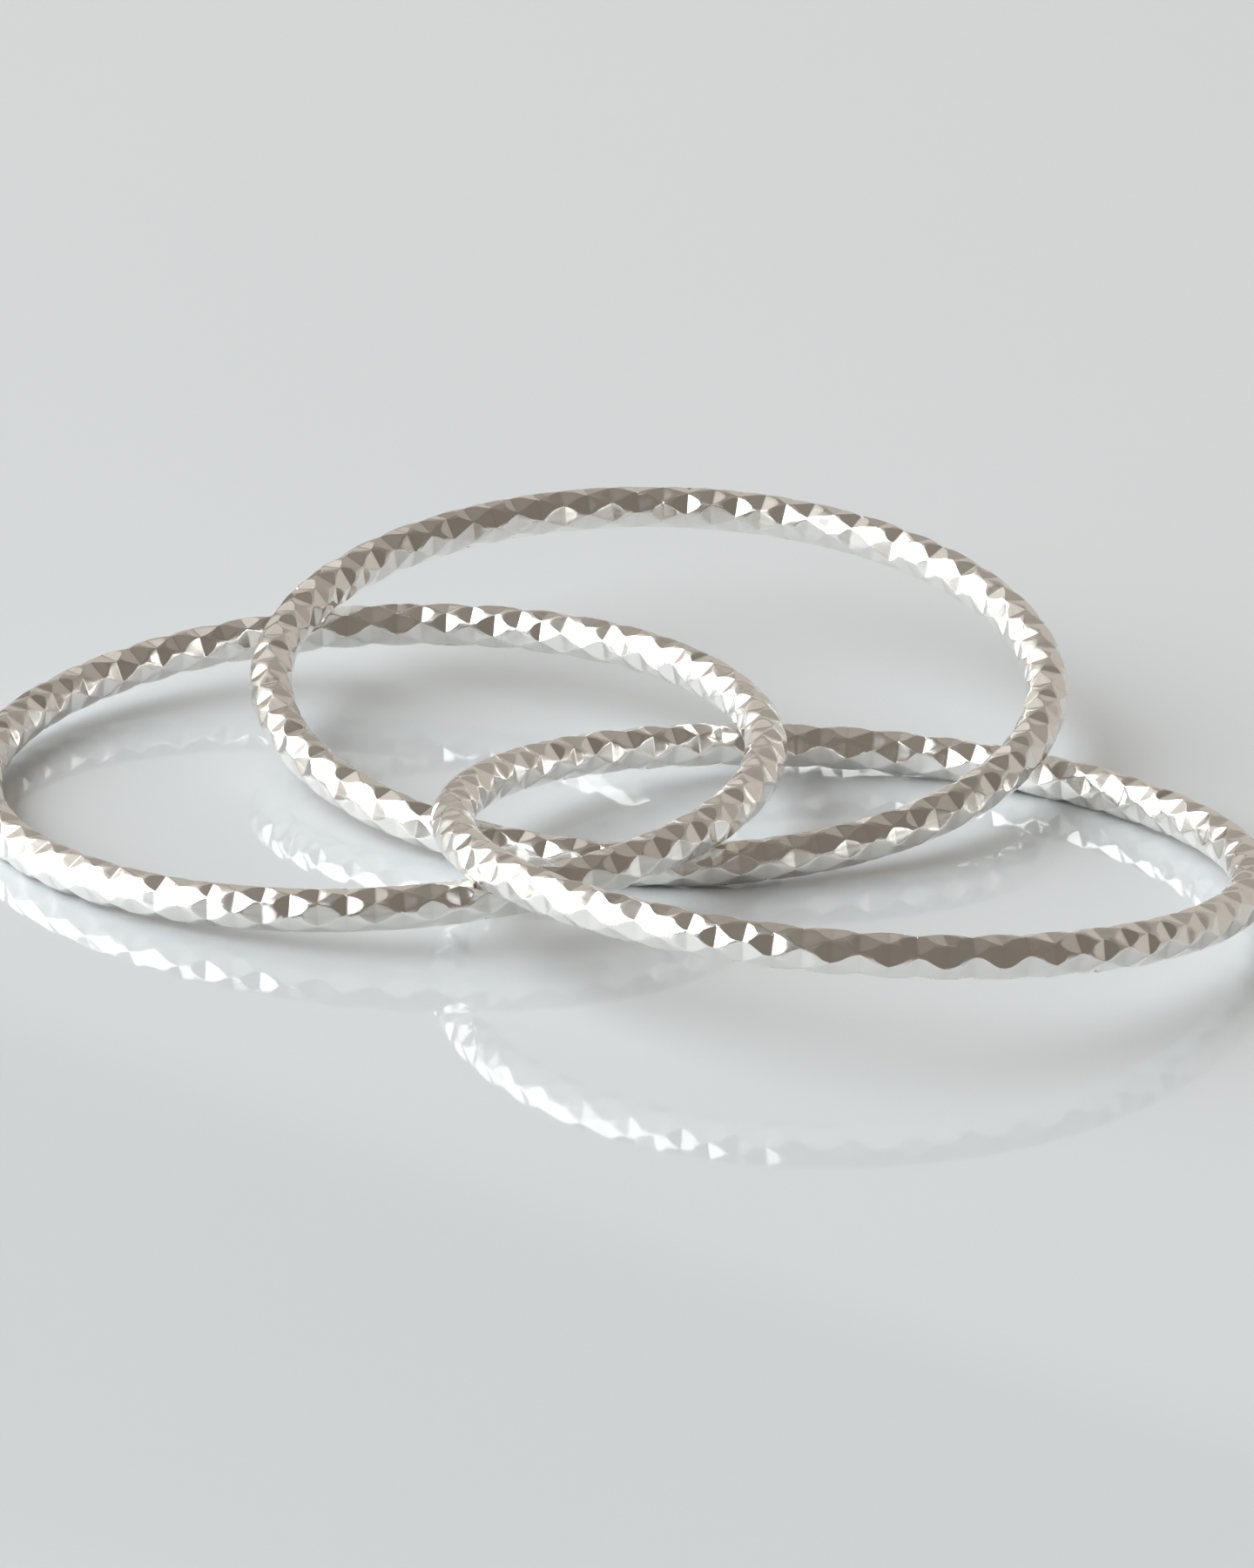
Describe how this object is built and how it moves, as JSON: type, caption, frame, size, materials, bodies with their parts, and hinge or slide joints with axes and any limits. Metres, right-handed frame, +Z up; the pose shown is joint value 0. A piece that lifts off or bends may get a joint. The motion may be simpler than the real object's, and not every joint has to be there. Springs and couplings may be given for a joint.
{
  "type": "multi-band ring",
  "caption": "Rolling finger ring of equal, slim, diamond-cut silver bands linked through one another, lying loose on a surface.",
  "frame": {"origin": "on the ground, under the middle of the lying ring's bounding box", "axes": "+Z up from the ground, +Y away from the viewer of the picture, +X to that viewer's right"},
  "size_m": [0.0304, 0.0294, 0.0036],
  "materials": {
    "silver": "bright diamond-cut facets on polished sterling silver"
  },
  "bodies": {
    "root": {"band_left": "silver", "band_back": "silver", "band_right": "silver"}
  },
  "joints": []
}
